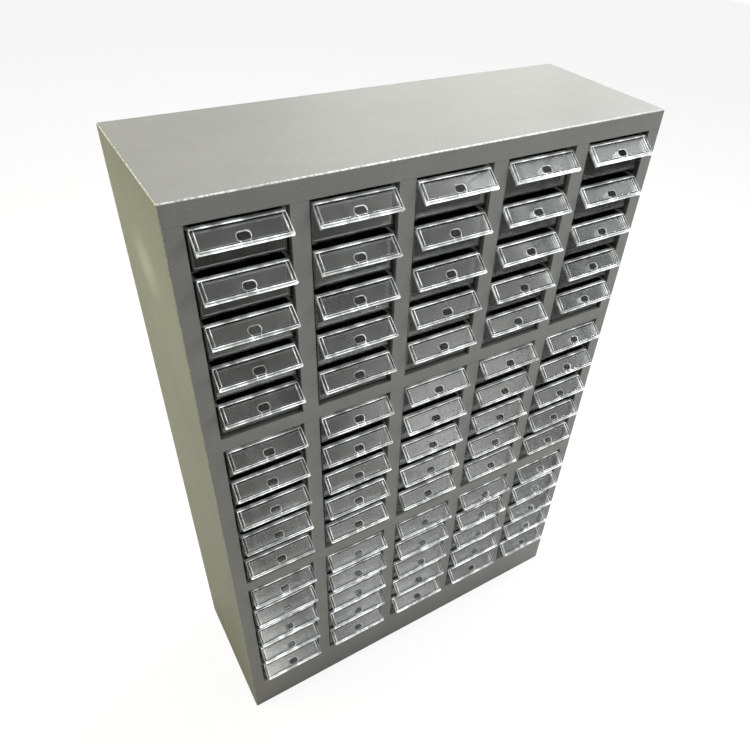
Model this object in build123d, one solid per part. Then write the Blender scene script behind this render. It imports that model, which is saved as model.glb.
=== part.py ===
from build123d import *
import os
from math import hypot

# Free-standing small-parts cabinet: a folded sheet-steel case with five
# columns and fifteen rows of clear moulded drawers, in three banks of five
# rows.  Millimetres, +Z up, front face towards -Y, origin on the floor at
# the centre of the case's footprint.

# ------------------------------------------------------------------ case
CASE_W = 600.0          # outside width, X
CASE_D = 207.0          # outside depth of the case alone, Y
CASE_H = 882.0          # outside height, Z
SHEET = 1.0             # gauge of the wrap, back panel and kick plate
THIN = 0.8              # gauge of the inner pressings
BEND_R = 2.0            # outer radius of the case folds

N_COLS = 5
N_BANKS = 3
ROWS_PER_BANK = 5
N_ROWS = N_BANKS * ROWS_PER_BANK
SLOT_W = 97.2           # clear width of one column opening
SLOT_P = 50.5           # drawer pitch, height of one slot
POST_W = 19.2           # width of the divider face between columns
SIDE_M = 18.6           # width of the case's front flange at each side
TOP_M = 22.5            # height of the case's top front flange
RAIL_H = 18.0           # height of the shelf face between two banks
BANK_H = SLOT_P * ROWS_PER_BANK
KICK_H = CASE_H - TOP_M - N_BANKS * BANK_H - (N_BANKS - 1) * RAIL_H
REAR_FLANGE = 12.0      # in-turned flange round the back of the wrap
TURN_H = 14.0           # upright flanges of the bottom pan and the floor
FIT_GAP = 0.4           # clearance of panels and pressings inside the wrap

Y_FRONT = -CASE_D / 2
Y_BACK = CASE_D / 2
Y_INNER = Y_FRONT + SHEET
Y_PRESS = Y_INNER + FIT_GAP         # front of the full-width sheets
Y_PANEL = Y_BACK - SHEET            # inner face of the back panel
Y_FLANGE = Y_PANEL - SHEET          # inner face of the wrap's rear flanges
Y_RUN_BACK = Y_FLANGE - 0.3         # rear ends of the inner pressings
X_OPEN = CASE_W / 2 - SIDE_M        # half width of the front opening
X_INNER = CASE_W / 2 - SHEET
X_PRESS = X_INNER - FIT_GAP         # half width of the full-width sheets
Z_INNER = CASE_H - SHEET
Z_OPEN = CASE_H - TOP_M             # top of the front opening

WELD_DEPTH = 0.2        # groove where the top and side flanges meet
WELD_BELOW, WELD_ABOVE = 0.1, 0.15

# ---------------------------------------------------------------- rivets
RIVET_R = 2.0
RIVET_MARGIN = 40.0     # first and last side rivets from floor and top
RIVET_STEPS = 5         # spaces in each line of rivets
RIVET_IN = REAR_FLANGE / 2
HEAD_R, HEAD_TIP_R, HEAD_T = 4.0, 2.6, 0.9
CRIMP_R, CRIMP_T = 2.8, 1.2

# --------------------------------------------------- dividers and liners
FACE_GAP = 0.2          # divider face stops this short of the shelves
WEB_FRONT = 12.0        # full-height part of the web, behind the front
WEB_BACK = 10.0         # and ahead of the pressings' rear ends
LINER_FLANGE = 11.0     # front flange of a liner, from the opening
LINER_GAP = 0.5

# --------------------------------------------------------------- runners
RUN_CLEAR = 0.35        # clearance between drawer and ledge
LEDGE_W = 8.4           # ledge width from the divider wall
RUN_LEG = 6.0           # upright leg of the runner angle
RUN_Y0 = Y_FRONT + 6.0
RUN_Y1 = Y_FRONT + 197.0

# ---------------------------------------------------------------- drawer
BOX_W = 88.8            # outside width of the drawer box
BOX_TOP = 5.1           # box rim below the top of its slot
BOX_BOT = 48.2          # underside of the box below the top of its slot
BOX_LEN = 194.0         # outside length of the drawer box
BOX_Y0 = Y_FRONT + 3.7  # front wall
BOX_Y1 = BOX_Y0 + BOX_LEN
WALL = 1.6              # moulded wall thickness
CORNER_R = 2.6          # outer radius of the upright corners
CAVITY_R = 1.2          # inner radius of the upright corners
BOTTOM_R = 2.4          # outer radius along the bottom edges
RIM_OUT = 3.3           # side rim, outwards from the box wall
RIM_BACK = 2.0          # rear rim, behind the box
RIM_START = 3.0         # side rim starts this far behind the front wall
RIM_T = 1.6
OVERLAP = 0.2           # bite of added pieces into the box walls
LINE_INSET = 3.0        # raised line along the foot of the front wall
LINE_OUT = 0.7
LINE_Z0, LINE_Z1 = 2.4, 4.0         # above the underside

FLAP_Y0 = 0.9           # flap top edge behind the front plane
FLAP_Z0 = BOX_TOP       # flap top edge below the slot top
FLAP_Y1 = 17.6          # lip in front of the front plane
FLAP_Z1 = 21.2          # lip below the slot top
FLAP_TOP = 89.4 / 2     # half width at the top edge
FLAP_LIP = 90.6 / 2     # half width at the lip
FLAP_T = 1.6
FLAP_RUN = FLAP_Y0 + FLAP_Y1
FLAP_DROP = FLAP_Z1 - FLAP_Z0
FLAP_LEN = hypot(FLAP_RUN, FLAP_DROP)
CHEEK = 5.6             # depth of the turned-back sides
LIP = 3.9               # depth of the turned-back lip
HOLE_W, HOLE_L = 12.0, 8.2
HOLE_S = 10.8           # hole starts this far down the flap
HOLE_R = 2.5
HOLE_CUT = 8.0          # height of the cutter
RIDGE_H = 1.0           # height of the outer ridges over the plate
TAB_W = 10.0            # tab that joins the two lip lines under the hole

SINGLE_ROWS = 8         # top rows whose drawers are separate nodes
SIDES = (-1, 1)         # left, right


def block(x0, x1, y0, y1, z0, z1):
    """Box given by its two corners."""
    return Pos((x0 + x1) / 2, (y0 + y1) / 2, (z0 + z1) / 2) * Box(
        abs(x1 - x0), abs(y1 - y0), abs(z1 - z0))


def wide(half, y0, y1, z0, z1):
    """Box centred on X, given by its half width."""
    return block(-half, half, y0, y1, z0, z1)


def col_x(column):
    """Centre of a column, 0 at the left."""
    return -CASE_W / 2 + SIDE_M + SLOT_W / 2 + column * (SLOT_W + POST_W)


def bank_span(bank):
    """Bottom and top of a bank's openings, 0 at the top."""
    top = Z_OPEN - bank * (BANK_H + RAIL_H)
    return top - BANK_H, top


def slot_top(row):
    """Top of the slot of a row, 0 at the top."""
    bank, i = divmod(row, ROWS_PER_BANK)
    return bank_span(bank)[1] - i * SLOT_P


def y_rod(radius, length, x, y, z):
    """Cylinder along Y, centred on the point."""
    return Pos(x, y, z) * Rot(90, 0, 0) * Cylinder(radius, length)


def rivet_places():
    """X and Z of the rivets: up both sides, then along the top."""
    x_line = X_INNER - RIVET_IN
    z_step = (CASE_H - 2 * RIVET_MARGIN) / RIVET_STEPS
    x_step = 2 * x_line / RIVET_STEPS
    places = [(side * x_line, RIVET_MARGIN + k * z_step)
              for side in SIDES for k in range(RIVET_STEPS + 1)]
    places += [(-x_line + k * x_step, Z_INNER - RIVET_IN)
               for k in range(1, RIVET_STEPS)]
    return places


def cut_rivet_holes(sheet):
    for x, z in rivet_places():
        sheet = sheet - y_rod(RIVET_R, 12, x, Y_BACK, z)
    return sheet


def round_folds(solid, x_side, y_front, z_top, radius):
    """Round the edges where two of the side, front and top faces meet."""
    folds = []
    for edge in solid.edges():
        c = edge.center()
        faces = (abs(abs(c.X) - x_side) < 0.01, abs(c.Y - y_front) < 0.01,
                 abs(c.Z - z_top) < 0.01)
        if sum(faces) >= 2:
            folds.append(edge)
    return fillet(folds, radius)


def make_wrap():
    """Top and both sides folded from one sheet, with front and rear flanges."""
    outer = wide(CASE_W / 2, Y_FRONT, Y_BACK, 0, CASE_H)
    inner = wide(X_INNER, Y_INNER, Y_BACK + 40, -40, Z_INNER)
    outer = round_folds(outer, CASE_W / 2, Y_FRONT, CASE_H, BEND_R)
    inner = round_folds(inner, X_INNER, Y_INNER, Z_INNER, BEND_R - SHEET)
    wrap = outer - inner
    wrap = wrap - wide(X_OPEN, Y_FRONT - 5, Y_INNER + 3, -5, Z_OPEN)
    # rear flanges, set in by the thickness of the back panel
    for side in SIDES:
        wrap = wrap + block(side * X_INNER, side * (X_INNER - REAR_FLANGE),
                            Y_FLANGE, Y_PANEL, 0, Z_INNER)
    wrap = wrap + wide(X_INNER, Y_FLANGE, Y_PANEL, Z_INNER - REAR_FLANGE, Z_INNER)
    # fine weld line where the top flange meets the side flanges
    for side in SIDES:
        wrap = wrap - block(side * X_OPEN, side * (CASE_W / 2 - BEND_R - 0.4),
                            Y_FRONT - 1, Y_FRONT + WELD_DEPTH,
                            Z_OPEN - WELD_BELOW, Z_OPEN + WELD_ABOVE)
    return cut_rivet_holes(wrap)


def make_back():
    """Flat back panel, just clear of the floor."""
    return cut_rivet_holes(
        wide(X_PRESS, Y_PANEL, Y_BACK, 0.2, Z_INNER - FIT_GAP))


def make_rivet(x, z):
    """Shank through both sheets, tapered head outside, crimp inside."""
    shank = y_rod(RIVET_R, 2 * SHEET, x, Y_PANEL, z)
    head = (Pos(x, Y_BACK + HEAD_T / 2, z) * Rot(-90, 0, 0)
            * Cone(HEAD_R, HEAD_TIP_R, HEAD_T))
    crimp = y_rod(CRIMP_R, CRIMP_T, x, Y_FLANGE - CRIMP_T / 2, z)
    return shank + head + crimp


def make_pan():
    """Sheet on the floor with upright flanges at back and front."""
    pan = wide(X_PRESS, Y_PRESS, Y_FLANGE, 0, THIN)
    pan = pan + wide(X_INNER - REAR_FLANGE, Y_FLANGE - THIN, Y_FLANGE, 0, TURN_H)
    return pan + wide(X_OPEN - 1.0, Y_INNER, Y_INNER + THIN, 0, TURN_H)


def make_kick():
    """Kick plate, the floor behind its top edge, and a rear down-turn."""
    z_under = KICK_H - THIN
    kick = wide(X_OPEN, Y_FRONT, Y_INNER, 0, KICK_H)
    kick = kick + wide(X_OPEN, Y_INNER, Y_PRESS, z_under, KICK_H)
    kick = kick + wide(X_PRESS, Y_PRESS, Y_RUN_BACK, z_under, KICK_H)
    return kick + wide(X_PRESS - REAR_FLANGE, Y_RUN_BACK - THIN, Y_RUN_BACK,
                       KICK_H - TURN_H, KICK_H)


def make_shelf(bank):
    """Folded C section below a bank: front face, lower and upper sheets."""
    z1 = bank_span(bank)[0]
    z0 = z1 - RAIL_H
    shelf = wide(X_OPEN, Y_FRONT, Y_FRONT + THIN, z0, z1)
    for z in (z0, z1 - THIN):
        shelf = shelf + wide(X_OPEN, Y_FRONT + THIN, Y_PRESS, z, z + THIN)
        shelf = shelf + wide(X_PRESS, Y_PRESS, Y_RUN_BACK, z, z + THIN)
    return shelf


def make_divider(bank, column):
    """Channel upright to the right of a column; only its webs reach the shelves."""
    z0, z1 = bank_span(bank)
    x_mid = col_x(column) + SLOT_W / 2 + POST_W / 2
    face_z = (z0 + FACE_GAP, z1 - FACE_GAP)
    divider = block(x_mid - POST_W / 2, x_mid + POST_W / 2,
                    Y_FRONT, Y_FRONT + THIN, *face_z)
    for side in SIDES:
        x_out = x_mid + side * POST_W / 2
        x_in = x_out - side * THIN
        divider = divider + block(x_out, x_in, Y_FRONT + THIN, Y_RUN_BACK, *face_z)
        divider = divider + block(x_out, x_in, Y_FRONT + WEB_FRONT,
                                  Y_RUN_BACK - WEB_BACK, z0, z1)
    return divider


def make_liner(bank, side):
    """Inner wall beside the first or last column, flanged front and back."""
    z0, z1 = bank_span(bank)
    flange_z = (z0 + LINER_GAP, z1 - LINER_GAP)
    x_wall = side * (X_OPEN + THIN)
    liner = block(side * X_OPEN, x_wall, Y_INNER, Y_RUN_BACK, z0, z1)
    liner = liner + block(x_wall, side * (X_OPEN + LINER_FLANGE),
                          Y_INNER, Y_INNER + THIN, *flange_z)
    return liner + block(x_wall, side * (X_INNER - REAR_FLANGE - LINER_GAP),
                         Y_RUN_BACK - THIN, Y_RUN_BACK, *flange_z)


def make_runner(column, row, side):
    """Angle under one side of a drawer, against the wall beside it."""
    x_wall = col_x(column) + side * SLOT_W / 2
    z = slot_top(row) - BOX_BOT - RUN_CLEAR
    leg = RUN_LEG
    if row % ROWS_PER_BANK == ROWS_PER_BANK - 1:
        # the lowest leg in a bank ends just above the shelf or floor
        leg = SLOT_P - BOX_BOT - RUN_CLEAR - 0.1
    ledge = block(x_wall, x_wall - side * LEDGE_W, RUN_Y0, RUN_Y1, z - THIN, z)
    return ledge + block(x_wall, x_wall - side * THIN, RUN_Y0, RUN_Y1,
                         z - leg, z - THIN)


# The drawer is built X centred, with Z = 0 at the top of its slot.
def make_box():
    """Open drawer box with its rims and the line on its front wall."""
    half = BOX_W / 2
    box = wide(half, BOX_Y0, BOX_Y1, -BOX_BOT, -BOX_TOP)
    box = fillet(box.edges().filter_by(Axis.Z), CORNER_R)
    box = fillet(box.faces().sort_by(Axis.Z)[0].edges(), BOTTOM_R)
    cavity = wide(half - WALL, BOX_Y0 + WALL, BOX_Y1 - WALL, -BOX_BOT + WALL, 5.0)
    box = box - fillet(cavity.edges().filter_by(Axis.Z), CAVITY_R)
    # stiffening rims along both sides and the back
    rim_z = (-BOX_TOP - RIM_T, -BOX_TOP)
    for side in SIDES:
        box = box + block(side * (half - OVERLAP), side * (half + RIM_OUT),
                          BOX_Y0 + RIM_START, BOX_Y1, *rim_z)
    box = box + wide(half + RIM_OUT, BOX_Y1 - OVERLAP, BOX_Y1 + RIM_BACK, *rim_z)
    return box + wide(half - LINE_INSET, BOX_Y0 - LINE_OUT, BOX_Y0 + OVERLAP,
                      -BOX_BOT + LINE_Z0, -BOX_BOT + LINE_Z1)


def make_flap():
    """Sloping flap: label plate, finger lip and turned-back cheeks."""
    # On this plane X is across, Y up the slope and Z outwards.
    slope = Plane(origin=(0, Y_FRONT + FLAP_Y0, -FLAP_Z0), x_dir=(1, 0, 0),
                  z_dir=(0, -FLAP_DROP, FLAP_RUN))

    # s0 and s1 run down the slope from the top edge, n0 and n1 outwards.
    def bar(half, s0, s1, n0, n1):
        return slope * wide(half, -s1, -s0, n0, n1)

    def side_strips(inset0, inset1, s0, s1, n0, n1):
        """Strips that follow the flap's slanted sides, on both sides."""
        half0, half1 = (FLAP_TOP + (FLAP_LIP - FLAP_TOP) * s / FLAP_LEN
                        for s in (s0, s1))
        strips = []
        for side in SIDES:
            outline = Polyline(
                (side * (half0 - inset0), -s0), (side * (half0 - inset1), -s0),
                (side * (half1 - inset1), -s1), (side * (half1 - inset0), -s1),
                close=True)
            strip = extrude(make_face(outline), n1 - n0, dir=(0, 0, 1))
            strips.append(slope * (Pos(0, 0, n0) * strip))
        return strips[0] + strips[1]

    face = -RIDGE_H         # outer face of the plate
    root = face - 0.1       # ridges start just inside the plate
    outline = Polyline((-FLAP_TOP, 0), (FLAP_TOP, 0), (FLAP_LIP, -FLAP_LEN),
                       (-FLAP_LIP, -FLAP_LEN), close=True)
    flap = slope * (Pos(0, 0, face - FLAP_T) * extrude(make_face(outline), FLAP_T))
    # strips: insets from the side, s0, s1, n0, n1; bars: half width, s0, s1, n0, n1
    for piece in (
        side_strips(0, 1.4, 0, FLAP_LEN, -CHEEK, face),             # cheeks
        bar(FLAP_LIP, FLAP_LEN - 1.4, FLAP_LEN, -LIP, face),        # turned-back lip
        side_strips(0, 1.2, 0, FLAP_LEN, root, 0),                  # side ridges
        side_strips(3.1, 4.2, 1.3, 19.8, root, -0.35),              # inner side lines
        bar(FLAP_LIP - 0.02, FLAP_LEN - 1.3, FLAP_LEN, root, 0),    # lip ridge
        bar(FLAP_LIP - 2.2, 19.2, 20.5, root, -0.1),                # line above the lip
        bar(FLAP_TOP - 0.1, 0, 1.1, root, -0.1),                    # top line
        bar(TAB_W / 2, 18.9, FLAP_LEN - 0.6, root, 0.35),           # tab
    ):
        flap = flap + piece
    hole = Pos(0, -(HOLE_S + HOLE_L / 2), 0) * Box(HOLE_W, HOLE_L, HOLE_CUT)
    hole = fillet(hole.edges().filter_by(Axis.Z), HOLE_R)
    return flap - slope * hole


def make_drawer():
    """One clear moulded drawer."""
    # top rim that carries the flap from the box's front wall
    rim = wide(FLAP_TOP - 0.4, Y_FRONT + FLAP_Y0 - 0.3, BOX_Y0 + 0.4,
               -FLAP_Z0 - 2.4, -FLAP_Z0 - 0.55)
    return (make_box() + make_flap() + rim).solids()[0]


def group(solids):
    """Several separate solids that share one node."""
    return Compound(children=list(solids))


# ----------------------------------------------------------------- nodes
banks = range(N_BANKS)
columns = range(N_COLS)
parts = {
    "case_wrap": make_wrap(),
    "back_panel": make_back(),
    "back_rivets": group(make_rivet(x, z) for x, z in rivet_places()),
    "bottom_pan": make_pan(),
    "kick_floor": make_kick(),
    "bank_shelves": group(make_shelf(b) for b in range(N_BANKS - 1)),
    "column_dividers": group(make_divider(b, c)
                             for b in banks for c in range(N_COLS - 1)),
    "side_liners": group(make_liner(b, side) for b in banks for side in SIDES),
}
for c in columns:
    parts[f"runners_column_{c + 1}"] = group(
        make_runner(c, r, side) for r in range(N_ROWS) for side in SIDES)

drawer = make_drawer()
for r in range(N_ROWS):
    placed = [Pos(col_x(c), 0, slot_top(r)) * drawer for c in columns]
    if r < SINGLE_ROWS:
        for c in columns:
            parts[f"drawer_r{r + 1:02d}_c{c + 1}"] = placed[c]
    else:
        parts[f"drawers_row_{r + 1:02d}"] = group(placed)

os.makedirs("parts", exist_ok=True)
for name, shape in parts.items():
    shape.label = name
    export_step(shape, f"parts/{name}.step")
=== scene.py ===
"""Small-parts cabinet: a grey powder-coated steel case full of clear plastic drawers.

The case stands on z = 0 with its front towards -Y and its width along X. All drawers
share one mesh, whose origin lies on the drawer's centre line at the top of its slot.
"""
import math

import bmesh
import bpy
from mathutils import Matrix, Vector


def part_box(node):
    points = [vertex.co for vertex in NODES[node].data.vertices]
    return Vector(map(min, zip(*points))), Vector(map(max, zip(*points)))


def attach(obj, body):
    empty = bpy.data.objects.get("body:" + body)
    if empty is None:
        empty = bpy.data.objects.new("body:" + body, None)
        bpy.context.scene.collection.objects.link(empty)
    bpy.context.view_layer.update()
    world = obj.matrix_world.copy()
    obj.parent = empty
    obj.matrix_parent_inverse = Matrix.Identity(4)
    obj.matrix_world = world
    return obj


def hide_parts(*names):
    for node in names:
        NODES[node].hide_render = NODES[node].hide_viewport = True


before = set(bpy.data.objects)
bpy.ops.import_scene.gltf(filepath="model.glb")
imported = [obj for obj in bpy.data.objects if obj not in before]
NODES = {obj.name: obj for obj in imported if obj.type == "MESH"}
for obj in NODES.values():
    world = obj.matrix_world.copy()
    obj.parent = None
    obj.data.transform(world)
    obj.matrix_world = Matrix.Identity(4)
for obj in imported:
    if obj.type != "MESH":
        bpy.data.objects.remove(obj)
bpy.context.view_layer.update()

MM = 0.001
COLUMNS = range(1, 6)
scene = bpy.context.scene
scene.view_settings.view_transform = "Standard"
scene.view_settings.look = "None"

# Case faces in metres; the case is centred on x = 0 and y = 0
CASE_LO, CASE_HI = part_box("case_wrap")
CASE_FRONT = CASE_LO.y
CASE_TOP = CASE_HI.z
CASE_SIDE = CASE_HI.x


# ------------------------------------------------------------------ nodes
class Tree:
    """Builds a node tree. A node passed as a value stands for its first output."""

    def __init__(self, owner):
        owner.use_nodes = True
        self.tree = owner.node_tree
        self.tree.nodes.clear()

    def put(self, socket, value):
        if isinstance(value, bpy.types.Node):
            value = value.outputs[0]
        if isinstance(value, bpy.types.NodeSocket):
            self.tree.links.new(value, socket)
        else:
            socket.default_value = value

    def new(self, kind, **settings):
        node = self.tree.nodes.new("ShaderNode" + kind)
        for name, value in settings.items():
            setattr(node, name, value)
        return node

    def fill(self, node, *values, **named):
        """Sets the first inputs in order, then named ones (_ stands for a space)."""
        for i, value in enumerate(values):
            self.put(node.inputs[i], value)
        for name, value in named.items():
            self.put(node.inputs[name.replace("_", " ")], value)
        return node

    def node(self, kind, *values, **named):
        return self.fill(self.new(kind), *values, **named)

    def math(self, operation, first, second=0.0, *third, clamp=False):
        node = self.new("Math", operation=operation, use_clamp=clamp)
        return self.fill(node, first, second, *third)

    def add(self, first, second):
        return self.math("ADD", first, second)

    def sub(self, first, second):
        return self.math("SUBTRACT", first, second)

    def mul(self, first, second, clamp=False):
        return self.math("MULTIPLY", first, second, clamp=clamp)

    def mul_add(self, value, factor, plus, clamp=False):
        return self.math("MULTIPLY_ADD", value, factor, plus, clamp=clamp)

    def vary(self, value, noise, amount):
        """Moves value up and down by a noise centred on one half."""
        return self.mul_add(noise, amount, self.sub(value, amount / 2))

    def offset(self, value, centre, spread):
        return self.math("DIVIDE", self.sub(value, centre), spread)

    def sum_squares(self, first, second):
        return self.add(self.mul(first, first), self.mul(second, second))

    def ramp(self, value, over, to=(0.0, 1.0), kind="SMOOTHSTEP"):
        node = self.new("MapRange", interpolation_type=kind)
        return self.fill(node, value, *over, *to)

    def vector_math(self, operation, first, second):
        return self.fill(self.new("VectorMath", operation=operation), first, second)

    def noise(self, vector, detail, rough, scale=1.0, distort=0.0, stretch=None,
              shift=None):
        if stretch:
            vector = self.vector_math("MULTIPLY", vector, stretch)
        if shift:
            vector = self.vector_math("ADD", vector, shift)
        return self.node("TexNoise", Vector=vector, Scale=scale, Detail=detail,
                         Roughness=rough, Distortion=distort)

    def coords(self, kind="Object"):
        return self.node("TexCoord").outputs[kind]

    def xyz(self, vector):
        return self.node("SeparateXYZ", vector).outputs

    def shade(self, color, value):
        return self.node("HueSaturation", Color=color, Value=value)

    def mix_color(self, amount, first, second):
        node = self.new("Mix", data_type="RGBA")
        for i, value in ((0, amount), (6, first), (7, second)):
            self.put(node.inputs[i], value)
        return node.outputs[2]

    def mix_shader(self, amount, first, second):
        return self.node("MixShader", amount, first, second)

    def bump(self, height, strength, distance, **normal):
        return self.node("Bump", Height=height, Strength=strength,
                         Distance=distance, **normal)


def new_material(name):
    material = bpy.data.materials.new(name)
    return material, Tree(material)


# ------------------------------------------------------------ powder coat
def left_glint(tree, color, place, side):
    """Painted highlight: glancing light caught by the grain high up on the left side,
    mixed into the colour.
    """
    x, y, z = tree.xyz(place)
    spot = tree.sum_squares(tree.offset(y, centre=0.0, spread=0.055),
                            tree.offset(z, centre=0.775, spread=0.045))
    core = tree.ramp(tree.math("SQRT", spot), over=(1.0, 0.0))
    halo = tree.ramp(tree.math("SQRT", spot), over=(4.2, 0.6))
    sparkle = tree.noise(place, scale=480.0, detail=2.0, rough=0.7,
                         shift=(1.9, 8.1, 4.4))
    sparkle = tree.ramp(sparkle, over=(0.50, 0.62))
    lit = tree.add(tree.mul(core, 0.42), tree.mul(halo, 0.10))
    lit = tree.mul(lit, tree.mul_add(sparkle, 0.8, plus=0.28))
    return tree.mix_color(tree.mul(lit, side, clamp=True), color,
                          (0.90, 0.90, 0.82, 1.0))


def shade_slots(tree, color, x, y, z):
    """Painted shade: darkens the faces that line the slots from the front edge
    inwards, within the case skin.
    """
    amount = tree.ramp(tree.sub(y, CASE_FRONT), over=(0.0012, 0.010))
    within = tree.ramp(tree.math("ABSOLUTE", x),
                       over=(CASE_SIDE - 0.0016, CASE_SIDE - 0.0024))
    within = tree.mul(within, tree.ramp(
        z, over=(CASE_TOP - 0.0016, CASE_TOP - 0.0024)))
    within = tree.mul(within, tree.ramp(
        y, over=(-CASE_FRONT - 0.0012, -CASE_FRONT - 0.0030)))
    amount = tree.mul(amount, within)
    return tree.mix_color(tree.mul(amount, 0.72), color,
                          (0.012, 0.012, 0.011, 1.0))


def fold_wear_and_highlight(tree, place, x, y, z):
    """Where paint is rubbed off the top folds and, less, the upright corners, together
    with a painted highlight along the same folds.
    """
    from_top = tree.sub(z, CASE_TOP)
    from_front = tree.sub(y, CASE_FRONT)
    from_side = tree.sub(tree.math("ABSOLUTE", x), CASE_SIDE)

    def fold(first, second, width):
        distance = tree.math("SQRT", tree.sum_squares(first, second))
        return tree.ramp(distance, over=(0.0006 + width, 0.0008 + width * 1.5),
                         to=(1.0, 0.0))

    folds = tree.math("MAXIMUM", fold(from_top, from_front, width=0.0005),
                      fold(from_top, from_side, width=0.0004))
    corners = tree.mul(fold(from_side, from_front, width=0.0004), 0.35)
    folds = tree.math("MAXIMUM", folds, corners)
    # painted highlight: the folds brighten more towards the left
    leftward = tree.ramp(x, over=(0.30, -0.10), to=(0.35, 1.0))
    chips = tree.ramp(tree.noise(place, scale=260.0, detail=4.0, rough=0.7),
                      over=(0.40, 0.60), to=(0.25, 1.0))
    return tree.mul(tree.mul(folds, chips), leftward)


def powder_coat(name, base, rough=0.46, wear_and_glint=False):
    """Powder coat with orange peel, fine grain and faint mottling."""
    material, tree = new_material(name)
    place = tree.coords()
    x, y, z = tree.xyz(place)
    peel = tree.noise(place, scale=420.0, detail=2.0, rough=0.55)
    grain = tree.noise(place, scale=1500.0, detail=2.0, rough=0.6)
    coarse = tree.noise(place, scale=560.0, detail=2.0, rough=0.6,
                        shift=(0.7, 5.3, 2.9))
    cells = tree.node("TexVoronoi", Vector=place, Scale=620.0)
    mottle = tree.noise(place, scale=9.0, detail=4.0, rough=0.6)
    fine_mottle = tree.noise(place, scale=42.0, detail=3.0, rough=0.6)
    smear = tree.noise(place, stretch=(14.0, 14.0, 2.6), detail=4.0, rough=0.62,
                       distort=0.6)

    # mottled brightness with darker pores
    value = tree.mul_add(mottle, 0.16, plus=0.92)
    value = tree.vary(value, fine_mottle, amount=0.08)
    value = tree.vary(value, grain, amount=0.26)
    value = tree.vary(value, coarse, amount=0.44)
    value = tree.mul(value, tree.ramp(cells, over=(0.05, 0.5), to=(0.93, 1.03)))
    color = tree.shade(base, value)

    # light flecks of the grain, made much stronger on faces turned to the left as a
    # painted glint where light catches them
    fleck = tree.ramp(tree.noise(place, scale=760.0, detail=1.0, rough=0.5,
                                 shift=(3.1, 1.7, 0.4)), over=(0.66, 0.74))
    normal_x = tree.xyz(tree.node("NewGeometry").outputs["Normal"])[0]
    side = tree.ramp(tree.mul(normal_x, -1.0), over=(0.6, 0.9))
    amount = tree.mul_add(side, 0.55, plus=0.12)
    color = tree.mix_color(tree.mul(fleck, amount), color, (0.78, 0.78, 0.72, 1.0))
    # painted highlight: a pale spot of glancing light high up on the left side
    if wear_and_glint:
        color = left_glint(tree, color, place, side)
    # painted shade on the faces inside the slots
    color = shade_slots(tree, color, x, y, z)

    roughness = tree.mul_add(smear, 0.22, plus=rough - 0.11)
    roughness = tree.vary(roughness, grain, amount=0.10)
    # rubbed paint on the folds, partly a painted highlight along them
    if wear_and_glint:
        rub_and_highlight = fold_wear_and_highlight(tree, place, x, y, z)
        color = tree.mix_color(tree.mul(rub_and_highlight, 0.95), color, (0.93, 0.93, 0.90, 1.0))
        roughness = tree.sub(roughness, tree.mul(rub_and_highlight, 0.12))

    height = tree.mul_add(peel, 0.7, plus=tree.mul(grain, 0.25))
    height = tree.mul_add(cells, 0.35, plus=height)
    normal = tree.bump(height, strength=0.55, distance=0.00022)
    normal = tree.bump(tree.noise(place, scale=26.0, detail=2.0, rough=0.5),
                       strength=0.10, distance=0.0012, Normal=normal)
    paint = tree.node("BsdfPrincipled", Base_Color=color, Roughness=roughness,
                      Normal=normal, Metallic=0.0, Specular_IOR_Level=0.5,
                      Coat_Weight=0.12, Coat_Roughness=0.25)
    tree.node("OutputMaterial", Surface=paint)
    return material


# ---------------------------------------------------------- clear plastic
def shifted_coords(tree, info, spread):
    """Object coordinates moved by a random step for each drawer."""
    steps = [tree.mul(info.outputs["Random"], size) for size in spread]
    return tree.vector_math("ADD", tree.coords(), tree.node("CombineXYZ", *steps))


def cloudiness(tree, place, smears, info, haze, streak, gain, uneven):
    """Smears, dust and scratches; gain strengthens the veil towards the bottom, so the
    low drawers look paler.
    """
    height = tree.xyz(info.outputs["Location"])[2]
    low = tree.ramp(height, over=(0.78, 0.12), kind="LINEAR")
    low = tree.math("POWER", low, 1.8)
    blotch = tree.noise(place, stretch=(22.0, 22.0, 22.0), detail=3.0, rough=0.55)
    scratch = tree.noise(place, stretch=(900.0, 60.0, 60.0), detail=2.0, rough=0.6)
    dust = tree.noise(place, scale=1400.0, detail=1.0, rough=0.5)
    cloud = tree.mul(tree.ramp(smears, over=(0.42, 0.72)), streak)
    for marks, over, amount in ((blotch, (0.40, 0.75), streak * 0.6),
                                (scratch, (0.60, 0.80), streak * 0.25),
                                (dust, (0.72, 0.80), 0.06)):
        cloud = tree.mul_add(tree.ramp(marks, over=over), amount, plus=cloud)
    cloud = tree.add(cloud, haze)
    cloud = tree.mul(cloud, tree.mul_add(low, gain, plus=1.0))
    if uneven > 0:
        gaps = tree.noise(place, stretch=(95.0, 95.0, 95.0), detail=2.0, rough=0.6)
        cloud = tree.mul(cloud, tree.ramp(gaps, over=(0.36, 0.60),
                                          to=(1.0 - uneven, 1.0)))
    return cloud


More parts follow.
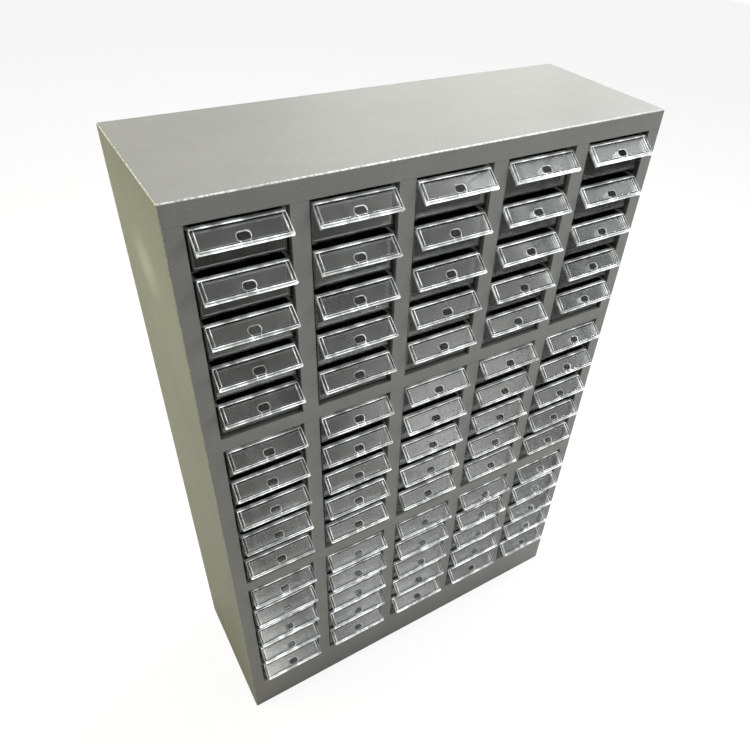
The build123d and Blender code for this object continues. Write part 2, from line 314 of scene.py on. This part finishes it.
def clear_plastic(name, body, haze, streak, gain, rough=0.07, tint=0.95, glow=0.0,
                  uneven=0.0):
    """Clear moulded plastic as a thin surface: sharp reflections over a
    see-through body with a milky veil. body veils grazing views, haze and
    streak veil all views, and glow adds emission as painted light from within."""
    material, tree = new_material(name)
    info = tree.node("ObjectInfo")
    place = shifted_coords(tree, info, spread=(37.0, 11.0, 23.0))
    smears = tree.noise(place, stretch=(70.0, 14.0, 14.0), detail=4.0, rough=0.6,
                        distort=0.8)
    cloud = cloudiness(tree, place, smears, info, haze, streak, gain, uneven)
    waves = tree.noise(place, stretch=(20.0, 11.0, 11.0), detail=0.0, rough=0.4)
    normal = tree.bump(waves, strength=0.10, distance=0.0010)
    roughness = tree.mul_add(tree.ramp(smears, over=(0.35, 0.75)), 0.05, plus=rough)

    fresnel = tree.node("Fresnel", IOR=1.56, Normal=normal)
    reflection = tree.mul_add(fresnel, 0.95, plus=0.015, clamp=True)
    gloss = tree.node("BsdfGlossy", Color=(0.97, 0.98, 0.98, 1.0),
                      Roughness=roughness, Normal=normal)
    through = tree.node("BsdfTransparent", Color=(tint, tint * 1.005, tint, 1.0))
    milk = (0.84, 0.86, 0.85, 1.0)
    veil = tree.mix_shader(0.35, tree.node("BsdfDiffuse", Color=milk, Normal=normal),
                           tree.node("BsdfTranslucent", Color=milk))
    facing = tree.node("LayerWeight", Blend=0.35).outputs["Facing"]
    veiled = tree.mul_add(facing, body, plus=cloud, clamp=True)
    shader = tree.mix_shader(veiled, through, veil)
    shader = tree.mix_shader(reflection, shader, gloss)
    if glow > 0:
        # painted highlight: emission for the light the moulded edges gather, uneven
        # along their length
        patches = tree.noise(place, stretch=(75.0, 75.0, 75.0), detail=3.0, rough=0.65)
        patches = tree.ramp(patches, over=(0.38, 0.66), to=(0.12, 1.9))
        light = tree.node("Emission", Color=(0.95, 0.97, 0.96, 1.0),
                          Strength=tree.mul(patches, glow))
        shader = tree.node("AddShader", shader, light)

    # many layers of plastic behind each other read as a pale solid body
    path = tree.node("LightPath").outputs
    solid = tree.node("BsdfDiffuse", Color=(0.60, 0.62, 0.61, 1.0))
    layered = tree.math("GREATER_THAN", path["Transparent Depth"], 5.5)
    shader = tree.mix_shader(layered, shader, solid)
    # shadows stay light
    thin = tree.node("BsdfTransparent", Color=(0.86, 0.87, 0.87, 1.0))
    shader = tree.mix_shader(path["Is Shadow Ray"], shader, thin)
    tree.node("OutputMaterial", Surface=shader)
    return material


def dark_line(name):
    """Inner corner of the moulding, where the bent light comes from the dark
    slot: nearly black, uneven, with a weak soft sheen."""
    material, tree = new_material(name)
    place = shifted_coords(tree, tree.node("ObjectInfo"), spread=(29.0,))
    patches = tree.noise(place, stretch=(60.0, 60.0, 60.0), detail=2.0, rough=0.6)
    dark = tree.node("BsdfDiffuse", Color=(0.012, 0.012, 0.012, 1.0))
    through = tree.node("BsdfTransparent", Color=(0.55, 0.56, 0.55, 1.0))
    gloss = tree.node("BsdfGlossy", Color=(0.8, 0.8, 0.8, 1.0), Roughness=0.35)
    clear = tree.ramp(patches, over=(0.35, 0.65), to=(0.10, 0.55))
    shader = tree.mix_shader(clear, dark, through)
    shader = tree.mix_shader(0.02, shader, gloss)
    tree.node("OutputMaterial", Surface=shader)
    return material


def bare_metal(name, base, rough=0.3):
    material, tree = new_material(name)
    place = tree.coords()
    fine = tree.noise(place, scale=900.0, detail=3.0, rough=0.6)
    broad = tree.noise(place, scale=120.0, detail=3.0, rough=0.6)
    metal = tree.node("BsdfPrincipled", Metallic=1.0,
                      Base_Color=tree.shade(base, tree.mul_add(broad, 0.3, plus=0.85)),
                      Roughness=tree.mul_add(fine, 0.2, plus=rough),
                      Normal=tree.bump(fine, strength=0.2, distance=0.0001))
    tree.node("OutputMaterial", Surface=metal)
    return material


GREY = (0.235, 0.238, 0.222, 1.0)
CASE_PAINT = powder_coat("case_paint", GREY, wear_and_glint=True)
FACE_PAINT = powder_coat("face_paint", GREY)
# painted shade: a much darker copy of the case paint for the liners and runners inside
# the case
SHADED_INNER_PAINT = powder_coat("inner_paint_shaded", (0.10, 0.10, 0.095, 1.0), rough=0.55)
# clear_edge and clear_rim are paler copies of the clear plastic that also glow:
# painted highlights for the bright moulded edges; clear_dark_line is painted shade for
# their dark inner corners
DRAWER_MATERIALS = [
    clear_plastic("clear_flap", body=0.012, haze=0.006, streak=0.035, gain=3.2),
    clear_plastic("clear_edge", body=0.12, haze=0.68, streak=0.20, gain=0.2,
                  rough=0.12, glow=0.34, uneven=0.45),
    clear_plastic("clear_tray", body=0.01, haze=0.001, streak=0.008, gain=3.0,
                  rough=0.05, tint=0.96),
    clear_plastic("clear_rim", body=0.10, haze=0.10, streak=0.10, gain=1.0,
                  rough=0.10, glow=0.012),
    dark_line("clear_dark_line"),
]
PLATE, EDGE, TRAY, RIM, DARK = range(5)   # slots in DRAWER_MATERIALS
RIVET_METAL = bare_metal("rivet_metal", (0.62, 0.62, 0.63, 1.0))


# ------------------------------------------------------------- mesh tools
def rounded_rect(x0, x1, y0, y1, radius, steps):
    """Closed loop of 4 * (steps + 1) points."""
    radius = max(1e-6, min(radius, (x1 - x0) / 2 - 1e-6, (y1 - y0) / 2 - 1e-6))
    points = []
    for x, y, start in ((x1 - radius, y1 - radius, 0), (x0 + radius, y1 - radius, 90),
                        (x0 + radius, y0 + radius, 180),
                        (x1 - radius, y0 + radius, 270)):
        for k in range(steps + 1):
            angle = math.radians(start + 90.0 * k / steps)
            points.append((x + radius * math.cos(angle), y + radius * math.sin(angle)))
    return points


def quarter_round(radius, steps):
    """(inset, rise) pairs from the foot of a rounded edge up to the wall."""
    angles = [math.radians(90.0 * k / steps) for k in range(steps + 1)]
    return [(radius * (1 - math.sin(angle)), radius * (1 - math.cos(angle)))
            for angle in angles]


def add_loop(mesh, points, shape):
    return [mesh.verts.new(shape(point)) for point in points]


def bridge(mesh, first, second, material, flip=False):
    """Joins two loops of vertices with a band of quads."""
    for i in range(len(first)):
        j = (i + 1) % len(first)
        corners = (first[i], first[j], second[j], second[i])
        face = mesh.faces.new(corners[::-1] if flip else corners)
        face.material_index = material


def loft(mesh, loops, material, shape=Vector, close=False):
    """Skins a stack of loops; the ends are capped, or joined if close is set."""
    rings = [add_loop(mesh, points, shape) for points in loops]
    for first, second in zip(rings[:-1], rings[1:]):
        bridge(mesh, first, second, material)
    if close:
        bridge(mesh, rings[-1], rings[0], material)
        return
    for cap in (rings[0][::-1], rings[-1]):
        mesh.faces.new(cap).material_index = material


def rounded_box(mesh, x0, x1, y0, y1, z0, z1, radius, material, steps=2,
                shape=Vector):
    """Box with every edge rounded."""
    profile = quarter_round(radius, steps)
    levels = [(inset, z0 + rise) for inset, rise in profile]
    levels += [(inset, z1 - rise) for inset, rise in reversed(profile)]
    loops = [[(x, y, z) for x, y in rounded_rect(
        x0 + inset, x1 - inset, y0 + inset, y1 - inset,
        max(radius - inset, 1e-5), steps)] for inset, z in levels]
    loft(mesh, loops, material, shape)


def finish_mesh(mesh, name, materials):
    bmesh.ops.recalc_face_normals(mesh, faces=mesh.faces[:])
    data = bpy.data.meshes.new(name)
    mesh.to_mesh(data)
    mesh.free()
    for material in materials:
        data.materials.append(material)
    data.polygons.foreach_set("use_smooth", [True] * len(data.polygons))
    data.set_sharp_from_angle(angle=math.radians(38.0))
    return data


def add_object(name, data):
    item = bpy.data.objects.new(name, data)
    scene.collection.objects.link(item)
    return item


# ------------------------------------------------- drawer (millimetres)
FRONT = CASE_FRONT / MM
HALF_WIDTH = 44.4
TRAY_FRONT = FRONT + 3.7
TRAY_BACK = TRAY_FRONT + 194.0
TOP, BOTTOM = -5.1, -48.2
WALL = 1.6
FLARE, FLARE_LENGTH = 1.2, 150.0     # widening of the walls towards the front
CORNER = 2.6                         # radius of the upright corners
FOOT_ROUND, FLOOR_ROUND = 2.4, 1.8   # outer and inner rounding at the floor

# Flap: leans forward from its top edge down to its lip
FLAP_TOP_Y, FLAP_TOP_Z = FRONT + 0.9, TOP
FLAP_LIP_Y, FLAP_LIP_Z = FRONT - 17.6, -21.2
SLOPE = math.hypot(FLAP_LIP_Y - FLAP_TOP_Y, FLAP_LIP_Z - FLAP_TOP_Z)
DOWN_Y = (FLAP_LIP_Y - FLAP_TOP_Y) / SLOPE
DOWN_Z = (FLAP_LIP_Z - FLAP_TOP_Z) / SLOPE
HALF, HALF_LIP = 44.7, 45.3          # half width at the top and at the lip
PLATE_FACE, PLATE_BACK = -1.0, -2.6
PLATE_CHAMFER, PLATE_CORNER, PLATE_STEPS = 0.3, 1.6, 6
HOLE_HALF, HOLE_TOP, HOLE_LOW, HOLE_CORNER = 6.5, 10.6, 18.9, 3.5

# Tray profile: growth at sides, front and back, height, corner radius
OUTER_WALL = (
    # raised line along the foot of the front wall
    (0, 0, 0, BOTTOM + 2.9, CORNER), (0, 0.55, 0, BOTTOM + 3.1, CORNER),
    (0, 0.55, 0, BOTTOM + 4.1, CORNER), (0, 0, 0, BOTTOM + 4.3, CORNER),
    # rim turned out at the sides and the back
    (0, 0, 0, TOP - 2.1, CORNER), (0.15, 0, 0.1, TOP - 1.75, CORNER),
    (0.4, 0, 0.3, TOP - 1.6, CORNER), (3.0, 0, 1.75, TOP - 1.6, CORNER),
    (3.25, 0, 1.95, TOP - 1.4, CORNER), (3.3, 0, 2.0, TOP - 1.1, CORNER),
    (3.3, 0, 2.0, TOP - 0.45, CORNER), (3.2, -0.05, 1.9, TOP - 0.12, CORNER),
    (2.9, -0.3, 1.6, TOP, 2.5),
)
# Inner lip of the rim: inset on all sides, height, corner radius
INNER_LIP = ((WALL - 0.3, TOP, 1.6), (WALL - 0.08, TOP - 0.12, 1.4),
             (WALL, TOP - 0.4, 1.3))

# Raised ring round the finger hole: distance from the hole, height
HOLE_RIM = ((0.30, -1.25), (0.30, -0.70), (0.45, -0.55),
            (0.65, -0.55), (0.80, -0.70), (0.80, -1.25))

# Bars on both sides of the flap: inner x, outer x, then from and to down the
# slope, from and to outwards, edge radius, material, rounding steps if not 2
SIDE_BARS = (
    (HALF - 1.4, HALF, 0.05, SLOPE, -5.5, -1.2, 0.35, RIM),          # cheek
    (HALF - 0.7, HALF, 0.0, SLOPE, -1.4, 0.0, 0.3, RIM),             # outer edge
    (HALF - 4.0, HALF - 3.55, 1.3, 19.6, -1.3, -0.35, 0.2, EDGE),    # by the label
    (HALF - 2.2, HALF, SLOPE - 2.2, SLOPE, -3.2, 0.15, 0.7, EDGE, 3),  # nub
    (4.4, 5.0, 19.3, SLOPE - 0.6, -1.5, 0.05, 0.2, EDGE),            # lip tick
)
SIDE_DARK = (
    (HALF - 1.9, HALF - 0.8, 2.5, SLOPE - 2.6, -1.35, -0.75, 0.15, DARK),
)
# Bars across the flap: half width, then as above
LIP_BARS = (
    (HALF - 0.5, SLOPE - 1.0, SLOPE, -2.6, 0.0, 0.4, EDGE, 3),       # lip edge
    (HALF - 1.0, 19.3, 20.0, -1.5, -0.25, 0.3, RIM),                 # upper line
    (HALF - 1.0, 21.1, 21.8, -1.5, -0.05, 0.2, EDGE),                # lower line
    (HALF - 0.9, 21.9, SLOPE - 1.0, -2.4, -1.1, 0.2, RIM),           # band
    (HALF - 1.0, 1.02, 2.3, -1.35, -0.60, 0.15, DARK),
    (HALF - 4.5, 20.1, 20.7, -1.3, -0.45, 0.15, DARK),
)
TOP_BARS = (
    (HALF - 0.4, 0.0, 1.0, -1.6, -0.02, 0.35, EDGE),                 # top edge
    (HALF - 4.4, 3.9, 4.4, -1.4, -0.6, 0.15, RIM),                   # line below
)


def tray_loop(side, front, back, z, radius):
    """Loop grown by the given amounts. The walls flare, the side rims don't."""
    flare = FLARE if side < 1.0 else 0.0
    points = []
    for x, y in rounded_rect(-HALF_WIDTH - side, HALF_WIDTH + side,
                             TRAY_FRONT - front, TRAY_BACK + back, radius, 4):
        share = max(0.0, 1.0 - (y - TRAY_FRONT) / FLARE_LENGTH)
        points.append(((x + math.copysign(flare * share, x)) * MM, y * MM, z * MM))
    return points


def inset_loop(inset, z, radius):
    return tray_loop(-inset, -inset, -inset, z, radius)


def catches_light(x, y, z):
    """Tray places that take the rim material."""
    depth = y - TRAY_FRONT
    rise = z - BOTTOM
    return (z > TOP - 2.0
            or (depth < 0.2 and 2.95 < rise < 4.25)           # foot line
            or (rise < 0.8 and depth < 2.3)                   # lower front edge
            or (abs(x) > HALF_WIDTH - 0.4 and depth < 1.9))   # front corners


def add_tray(mesh):
    loops = [inset_loop(inset, BOTTOM + rise, max(CORNER - inset, 0.5))
             for inset, rise in quarter_round(FOOT_ROUND, 4)]
    loops += [tray_loop(*row) for row in OUTER_WALL]
    loops += [inset_loop(*row) for row in INNER_LIP]
    loops += [inset_loop(WALL + inset, BOTTOM + WALL + rise,
                         max(1.3 - inset * 0.5, 0.4))
              for inset, rise in reversed(quarter_round(FLOOR_ROUND, 4))]
    loft(mesh, loops, TRAY)
    for face in mesh.faces:
        if catches_light(*(face.calc_center_median() / MM)):
            face.material_index = RIM


def on_flap(point):
    """Flap coordinates (x across, down the slope, outwards) to metres."""
    x, down, out = point
    x = x * (HALF + (HALF_LIP - HALF) * down / SLOPE) / HALF
    return (x * MM, (FLAP_TOP_Y + DOWN_Y * down + DOWN_Z * out) * MM,
            (FLAP_TOP_Z + DOWN_Z * down - DOWN_Y * out) * MM)


def plate_outline(inset, out):
    return [(x, down, out) for x, down in rounded_rect(
        -HALF + inset, HALF - inset, inset, SLOPE - inset,
        PLATE_CORNER - inset, PLATE_STEPS)]


def hole_outline(grow, out):
    return [(x, down, out) for x, down in rounded_rect(
        -HOLE_HALF - grow, HOLE_HALF + grow, HOLE_TOP - grow, HOLE_LOW + grow,
        HOLE_CORNER + grow, PLATE_STEPS)]


def add_plate(mesh):
    """Label plate with chamfered edges and the finger hole."""
    cut = PLATE_CHAMFER
    profile = ((cut, PLATE_FACE), (cut * 0.3, PLATE_FACE - cut * 0.3),
               (0.0, PLATE_FACE - cut), (0.0, PLATE_BACK + cut),
               (cut * 0.3, PLATE_BACK + cut * 0.3), (cut, PLATE_BACK))
    outer = [add_loop(mesh, plate_outline(*row), on_flap) for row in profile]
    inner = [add_loop(mesh, hole_outline(*row), on_flap) for row in profile]
    for rings, flip in ((outer, False), (inner, True)):
        for first, second in zip(rings[:-1], rings[1:]):
            bridge(mesh, first, second, EDGE, flip)
    bridge(mesh, inner[0], outer[0], PLATE)
    bridge(mesh, outer[-1], inner[-1], PLATE)
    loft(mesh, [hole_outline(*row) for row in HOLE_RIM], RIM, on_flap, close=True)


def add_side_bars(mesh, bars):
    for side in (-1, 1):
        for near, far, *rest in bars:
            x0, x1 = sorted((side * near, side * far))
            rounded_box(mesh, x0, x1, *rest, shape=on_flap)


def add_cross_bars(mesh, bars):
    for half, *rest in bars:
        rounded_box(mesh, -half, half, *rest, shape=on_flap)


def build_drawer():
    mesh = bmesh.new()
    add_tray(mesh)
    add_plate(mesh)
    add_side_bars(mesh, SIDE_BARS)
    add_cross_bars(mesh, LIP_BARS)
    add_side_bars(mesh, SIDE_DARK)
    add_cross_bars(mesh, TOP_BARS)
    # strip that carries the flap from the tray's front wall; last value: radius
    strip = (-HALF + 0.6, HALF - 0.6, FLAP_TOP_Y - 0.1, TRAY_FRONT + 1.4,
             FLAP_TOP_Z - 1.7, FLAP_TOP_Z - 0.05, 0.3)
    rounded_box(mesh, *(value * MM for value in strip), RIM)
    return finish_mesh(mesh, "drawer_master", DRAWER_MATERIALS)


def box_middle(node):
    low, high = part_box(node)
    return (low.x + high.x) / 2


def place_drawer(name, x, node):
    drawer = add_object(name, DRAWER_MESH)
    drawer.location = (x, 0.0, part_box(node)[1].z - TOP * MM)
    normals = drawer.modifiers.new("wn", "WEIGHTED_NORMAL")
    normals.keep_sharp = True
    normals.weight = 60
    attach(drawer, node)
    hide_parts(node)


DRAWER_MESH = build_drawer()
COLUMN_X = {c: box_middle("drawer_r01_c%d" % c) for c in COLUMNS}
for node in sorted(NODES):
    if node.startswith("drawers_row"):
        # one node holds a whole row
        for c in COLUMNS:
            place_drawer("drawer_r%s_c%d_clear" % (node[-2:], c), COLUMN_X[c], node)
    elif node.startswith("drawer"):
        place_drawer(node + "_clear", box_middle(node), node)


# --------------------------------------------------------------- steelwork
def dress(node, material):
    data = NODES[node].data
    data.materials.clear()
    data.materials.append(material)
    for polygon in data.polygons:
        polygon.material_index = 0


dress("case_wrap", CASE_PAINT)
for node in ("back_panel", "bottom_pan", "kick_floor", "bank_shelves",
             "column_dividers"):
    dress(node, FACE_PAINT)
dress("side_liners", SHADED_INNER_PAINT)
for c in COLUMNS:
    dress("runners_column_%d" % c, SHADED_INNER_PAINT)
dress("back_rivets", RIVET_METAL)


# ------------------------------------------------------------------ stage
def floor_material():
    material, tree = new_material("floor_pale")
    clouds = tree.noise(tree.coords(), scale=3.0, detail=3.0, rough=0.5)
    color = tree.shade((0.86, 0.86, 0.855, 1.0),
                       tree.mul_add(clouds, 0.03, plus=0.985))
    pale = tree.node("BsdfPrincipled", Base_Color=color, Roughness=0.75)
    # seen straight from the camera the floor is nearly shadowless white
    white = tree.node("Emission", Color=(1.0, 1.0, 1.0, 1.0), Strength=1.06)
    # and mirror-like reflections find it much darker
    dark = tree.node("BsdfDiffuse", Color=(0.22, 0.22, 0.215, 1.0))
    path = tree.node("LightPath").outputs
    shader = tree.mix_shader(path["Is Glossy Ray"], pale, dark)
    shader = tree.mix_shader(tree.mul(path["Is Camera Ray"], 0.85), shader, white)
    tree.node("OutputMaterial", Surface=shader)
    return material


def stage_floor():
    mesh = bmesh.new()
    bmesh.ops.create_grid(mesh, x_segments=1, y_segments=1, size=6.0)
    floor = add_object("stage_floor", finish_mesh(mesh, "stage_floor", []))
    floor.location = (0, 0, -0.0005)
    floor.data.materials.append(floor_material())


stage_floor()

# Soft bright patches seen in reflections: azimuth from the front towards +X,
# height, spread in azimuth, spread in height, power
WINDOWS = ((1.30, 0.56, 0.20, 0.21, 1.7), (0.67, 0.67, 0.145, 0.056, 2.2),
           (0.06, 0.53, 0.08, 0.12, 6.0), (0.33, 0.58, 0.06, 0.14, 1.4),
           (0.45, 0.56, 0.12, 0.07, 1.6))


def build_world():
    """Dim fill for the steel, a room for reflections, white for the camera."""
    world = bpy.data.worlds.new("studio")
    scene.world = world
    tree = Tree(world)
    x, y, z = tree.xyz(tree.coords("Generated"))
    path = tree.node("LightPath").outputs
    fill = tree.ramp(z, over=(-0.1, 0.9), to=(0.10, 0.14))
    azimuth = tree.math("ARCTAN2", x, tree.mul(y, -1.0))
    bands = tree.node("CombineXYZ", X=tree.mul(azimuth, 5.5), Z=tree.mul(z, 2.0))
    bands = tree.ramp(tree.noise(bands, detail=2.0, rough=0.5),
                      over=(0.38, 0.62), to=(0.78, 1.22))
    room = tree.ramp(z, over=(0.62, 0.95), to=(0.10, 0.45))
    for turn, height, turn_spread, height_spread, power in WINDOWS:
        spot = tree.sum_squares(tree.offset(azimuth, turn, turn_spread),
                                tree.offset(z, height, height_spread))
        # bell curve, with 2.718 for e
        bell = tree.math("POWER", 2.718, tree.mul(spot, -0.5))
        room = tree.add(room, tree.mul(bell, power))
    room = tree.mul(room, bands)
    bright = tree.math("MAXIMUM", fill, tree.mul(path["Is Glossy Ray"], room))
    bright = tree.math("MAXIMUM", bright, tree.mul(path["Is Camera Ray"], 1.05))
    sky = tree.node("Background", Color=(1.0, 1.0, 0.985, 1.0), Strength=bright)
    tree.node("OutputWorld", Surface=sky)


build_world()


def area_light(name, at, aim, size, power, color=(1, 1, 1), mirrored=True):
    data = bpy.data.lights.new(name, "AREA")
    data.energy = power
    data.color = color
    data.size = size
    light = add_object(name, data)
    light.location = at
    light.rotation_mode = "QUATERNION"
    light.rotation_quaternion = (Vector(aim) - Vector(at)).to_track_quat("-Z", "Y")
    light.visible_glossy = mirrored


area_light("light_top", at=(1.1, 0.2, 2.3), aim=(0.1, 0.0, 0.85), size=1.2, power=68.0)
area_light("light_rear", at=(0.2, 0.9, 2.2), aim=(0.0, 0.0, 0.85), size=1.2, power=8.0)
area_light("light_front", at=(1.7, -1.7, 1.5), aim=(0.1, -0.1, 0.5), size=1.2,
           power=7.0, mirrored=False)
area_light("light_low", at=(1.3, -1.9, 0.45), aim=(0.1, -0.1, 0.3), size=1.0,
           power=10.0, mirrored=False)
area_light("light_side", at=(-1.8, 0.7, 1.2), aim=(-0.3, 0.0, 0.45), size=1.2,
           power=30.5, color=(1.0, 0.97, 0.66))
area_light("light_behind", at=(1.5, 2.2, 1.55), aim=(0.0, 0.1, 0.7), size=1.3,
           power=5.0)
area_light("light_right", at=(1.1, -1.0, 1.1), aim=(0.25, -0.1, 0.7), size=0.7,
           power=3.2, mirrored=False)


# ----------------------------------------------------------------- camera
# Columns are the camera's right, up and backward directions
CAMERA_AXES = Matrix(((0.850497, 0.3052, -0.428378),
                      (-0.523601, 0.568656, -0.634407),
                      (0.049979, 0.76386, 0.643443)))


def add_camera():
    """Looks down at the cabinet from the front left."""
    data = bpy.data.cameras.new("camera")
    camera = add_object("camera", data)
    data.sensor_width = 36.0
    data.lens = 32.179
    data.shift_x = -0.04225
    data.shift_y = 0.01497
    data.clip_start = 0.01
    data.clip_end = 50.0
    camera.rotation_mode = "QUATERNION"
    camera.rotation_quaternion = CAMERA_AXES.to_quaternion()
    camera.location = (-0.40322, -0.63479, 1.12772)
    scene.camera = camera


add_camera()
